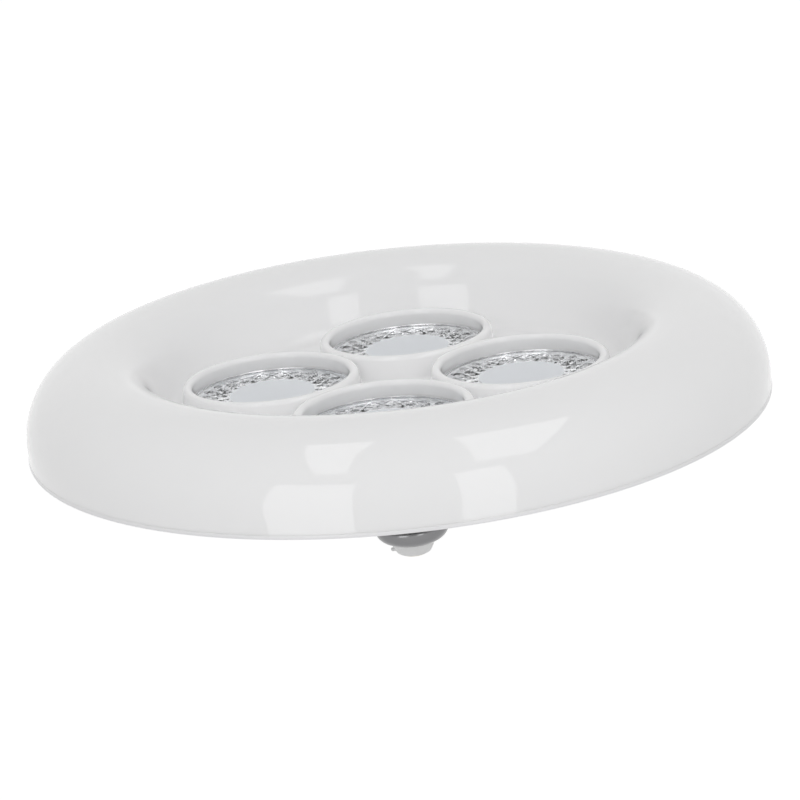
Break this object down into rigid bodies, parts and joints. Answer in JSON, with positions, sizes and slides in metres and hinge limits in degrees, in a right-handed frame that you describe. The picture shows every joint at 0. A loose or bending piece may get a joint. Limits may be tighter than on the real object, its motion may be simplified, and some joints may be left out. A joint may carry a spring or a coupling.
{
  "type": "led spotlight lamp",
  "caption": "Saucer-shaped LED lamp: opal ring diffuser round a bowl of crystal spot lenses, on a screw lamp base.",
  "frame": {"origin": "middle of the end contact's face", "axes": "+Z along the lamp's axis, from the end contact towards the light face"},
  "size_m": [0.2508, 0.2508, 0.0807],
  "materials": {
    "opal": "glossy opal moulding",
    "cover_white": "satin white moulding",
    "shell_metal": "bright nickel plating",
    "insulator": "pale grey moulding",
    "contact_metal": "bright contact",
    "lens_clear": "clear crystal-cut plastic",
    "reflector_chrome": "vacuum-plated chrome",
    "board_white": "white solder mask",
    "emitter_yellow": "phosphor window",
    "plate_metal": "mill finish",
    "board_green": "solder mask",
    "transformer_tape": "polyester tape",
    "capacitor_sleeve": "shrunk sleeve",
    "choke_brown": "lacquered winding",
    "package_black": "moulded package",
    "resistor_tan": "lacquer",
    "lead_red": "lead insulation",
    "lead_blue": "lead insulation",
    "lead_black": "lead insulation",
    "screw_steel": "zinc plated"
  },
  "bodies": {
    "root": {"back_cover": "cover_white", "base_insulator": "insulator", "bridge_rectifier": "package_black", "centre_contact": "contact_metal", "cover_screws": "screw_steel", "diffuser": "opal", "driver_board": "board_green", "driver_chip": "package_black", "driver_screws": "screw_steel", "fusible_resistor": "resistor_tan", "input_capacitor": "capacitor_sleeve", "led_plate": "plate_metal", "line_choke": "choke_brown", "live_lead": "lead_red", "minus_lead": "lead_black", "neutral_lead": "lead_blue", "output_capacitor": "capacitor_sleeve", "plate_screws": "screw_steel", "plus_lead": "lead_red", "ring_led_board": "board_white", "screw_shell": "shell_metal", "spot_board_1": "board_white", "spot_board_2": "board_white", "spot_board_3": "board_white", "spot_board_4": "board_white", "spot_emitter_1": "emitter_yellow", "spot_emitter_2": "emitter_yellow", "spot_emitter_3": "emitter_yellow", "spot_emitter_4": "emitter_yellow", "spot_leads": "lead_black", "spot_lens_1": "lens_clear", "spot_lens_2": "lens_clear", "spot_lens_3": "lens_clear", "spot_lens_4": "lens_clear", "spot_reflector_1": "reflector_chrome", "spot_reflector_2": "reflector_chrome", "spot_reflector_3": "reflector_chrome", "spot_reflector_4": "reflector_chrome", "transformer": "transformer_tape"}
  },
  "joints": []
}
